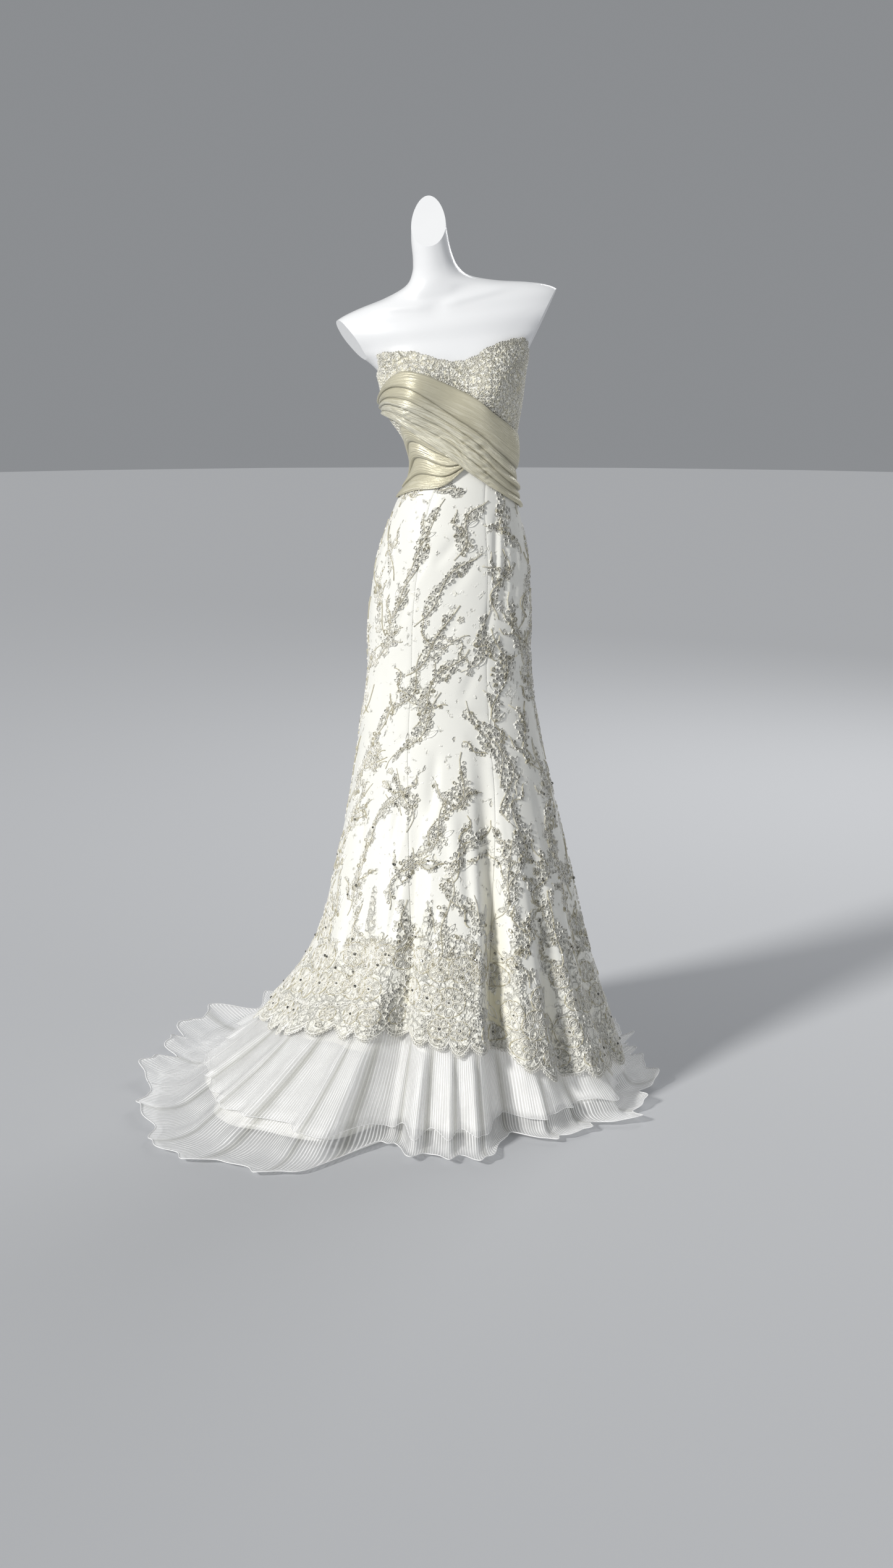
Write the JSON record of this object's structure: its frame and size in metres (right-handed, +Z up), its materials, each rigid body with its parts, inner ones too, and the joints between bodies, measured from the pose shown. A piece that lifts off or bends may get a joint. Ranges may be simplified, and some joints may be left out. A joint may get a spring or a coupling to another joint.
{
  "type": "mermaid gown on a dress form",
  "caption": "Strapless mermaid gown of beaded lace over satin, with a crossed pleated sash, sheer flounces and a train swept to one side, on a limbless dress form with a round base.",
  "frame": {"origin": "centre of the underside of the stand's round base, on the floor", "axes": "+Z up, -Y the way the gown's front faces, +X to the wearer's left"},
  "size_m": [1.0315, 1.064, 1.7031],
  "materials": {
    "lace": "beaded lace over ivory satin",
    "bodice": "dense beaded lace",
    "sash": "pleated champagne satin",
    "organza": "sheer finely pleated organza",
    "lining": "plain ivory satin",
    "buttons": "satin-covered",
    "form": "smooth gloss white",
    "steel": "brushed"
  },
  "bodies": {
    "root": {"skirt_front": "lace", "skirt_side_front_left": "lace", "skirt_side_front_right": "lace", "skirt_side_back_left": "lace", "skirt_side_back_right": "lace", "skirt_back_left": "lace", "skirt_back_right": "lace", "lace_border_front": "lace", "lace_border_back_right": "lace", "lace_border_back_left": "lace", "bodice_front": "bodice", "bodice_side_front_right": "bodice", "bodice_side_front_left": "bodice", "bodice_side_back_right": "bodice", "bodice_side_back_left": "bodice", "bodice_back_right": "bodice", "bodice_back_left": "bodice", "sash_lower": "sash", "sash_upper": "sash", "sash_back_right": "sash", "sash_back_left": "sash", "flounce_upper_front": "organza", "flounce_upper_back_right": "organza", "flounce_upper_back_left": "organza", "flounce_lower_front": "organza", "flounce_lower_back_right": "organza", "flounce_lower_back_left": "organza", "underskirt": "lining", "button_bodice_1": "buttons", "button_bodice_2": "buttons", "button_bodice_3": "buttons", "button_bodice_4": "buttons", "button_skirt_1": "buttons", "button_skirt_2": "buttons", "button_skirt_3": "buttons", "form_torso": "form", "stand_base": "steel", "stand_collar": "steel", "stand_pole": "steel"}
  },
  "joints": []
}
